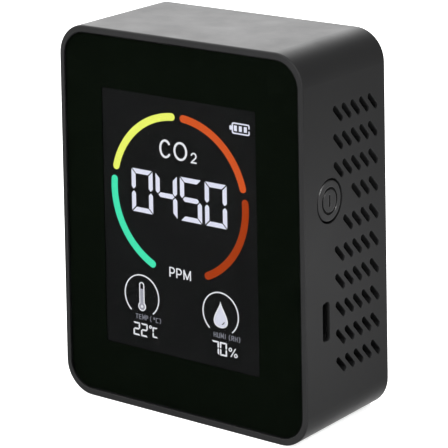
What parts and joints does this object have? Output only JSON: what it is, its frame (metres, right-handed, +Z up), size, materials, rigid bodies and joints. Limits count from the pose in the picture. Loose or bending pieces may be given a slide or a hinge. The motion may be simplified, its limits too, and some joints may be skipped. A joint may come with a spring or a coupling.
{
  "type": "carbon dioxide monitor",
  "caption": "Upright palm-size box with a flush dark window over a ring gauge display, slanted side air slots, a round side button and a charging port.",
  "frame": {"origin": "centre of the bottom face, on the surface the monitor stands on", "axes": "+Z up, -Y towards the reader (the display side), +X towards the button and the port"},
  "size_m": [0.0722, 0.0356, 0.0934],
  "materials": {
    "case_plastic": "fine moulded texture, satin",
    "button_plastic": "fine moulded texture, satin",
    "window_clear": "clear, polished",
    "window_border": "printed ink behind the window, gloss",
    "adhesive": "matt film",
    "screw_steel": "black-zinc steel",
    "board_screw_steel": "zinc-plated steel",
    "lit_green": "backlit",
    "lit_yellow": "backlit",
    "lit_orange": "backlit",
    "lit_red": "backlit",
    "lit_white": "backlit",
    "lit_fill": "partly backlit",
    "lit_dim": "dimly backlit",
    "display_black": "smooth film, dark",
    "display_glass": "clear, polished",
    "foam_black": "closed-cell foam",
    "white_film": "white film",
    "guide_clear": "clear acrylic",
    "led_white": "phosphor under clear resin",
    "flex_amber": "polyimide film",
    "holder_white": "moulded",
    "contact_rubber": "silicone",
    "board_green": "solder mask on glass-fibre board",
    "chip_black": "moulded epoxy with tinned leads",
    "ferrite": "ferrite",
    "ceramic_tan": "fired ceramic with tinned ends",
    "resistor_black": "coated ceramic with tinned ends",
    "sensor_black": "moulded",
    "buzzer_black": "moulded",
    "port_steel": "drawn steel",
    "port_plastic": "moulded",
    "switch_black": "moulded",
    "switch_ivory": "moulded",
    "spring_steel": "spring steel",
    "pin_gold": "gold-plated",
    "chamber_gold": "gold-plated, satin",
    "filter_white": "porous membrane",
    "lamp_glass": "clear",
    "detector_can": "drawn can",
    "pouch_foil": "laminated foil",
    "connector_ivory": "moulded",
    "lead_red": "silicone insulation",
    "lead_black": "silicone insulation"
  },
  "bodies": {
    "case": {"backlight_leds": "led_white", "backlight_strip": "flex_amber", "battery_cell": "pouch_foil", "battery_lead_black": "lead_black", "battery_lead_red": "lead_red", "battery_pad": "foam_black", "battery_plug": "connector_ivory", "battery_socket": "connector_ivory", "battery_symbol": "lit_white", "board_screws": "board_screw_steel", "buzzer": "buzzer_black", "capacitors": "ceramic_tan", "charger_chip": "chip_black", "climate_captions": "lit_dim", "climate_dials": "lit_white", "climate_fills": "lit_fill", "climate_readouts": "lit_white", "contact_strip": "contact_rubber", "controller_chip": "chip_black", "cover_screws": "screw_steel", "diffuser_sheet": "white_film", "display_gasket": "foam_black", "display_holder": "holder_white", "driver_chip": "chip_black", "front_glass": "display_glass", "front_polariser": "display_black", "front_shell": "case_plastic", "front_window": "window_clear", "gauge_bar_green": "lit_green", "gauge_bar_orange": "lit_orange", "gauge_bar_red": "lit_red", "gauge_bar_yellow": "lit_yellow", "humidity_sensor": "sensor_black", "inductor": "ferrite", "infrared_detector": "detector_can", "infrared_lamp": "lamp_glass", "light_guide": "guide_clear", "main_board": "board_green", "port_shell": "port_steel", "port_tongue": "port_plastic", "quantity_marks": "lit_white", "reading_digits": "lit_white", "rear_cover": "case_plastic", "rear_glass": "display_glass", "rear_polariser": "display_black", "reflector_sheet": "white_film", "resistors": "resistor_black", "sensor_board": "board_green", "sensor_chamber": "chamber_gold", "sensor_filter": "filter_white", "sensor_pins": "pin_gold", "switch_body": "switch_black", "switch_dome": "spring_steel", "window_print": "window_border", "window_tape": "adhesive"},
    "button": {"power_button": "button_plastic"},
    "plunger": {"switch_plunger": "switch_ivory"}
  },
  "joints": [
    {"name": "button_press", "type": "slide", "parent": "case", "child": "button", "axis": [-1, 0, 0], "range_m": [0, 0.00025]},
    {"name": "plunger_press", "type": "slide", "parent": "case", "child": "plunger", "axis": [-1, 0, 0], "range_m": [0, 0.00025]}
  ],
  "couplings": [
    {"joint": "plunger_press", "follows": "button_press", "ratio": 1}
  ]
}
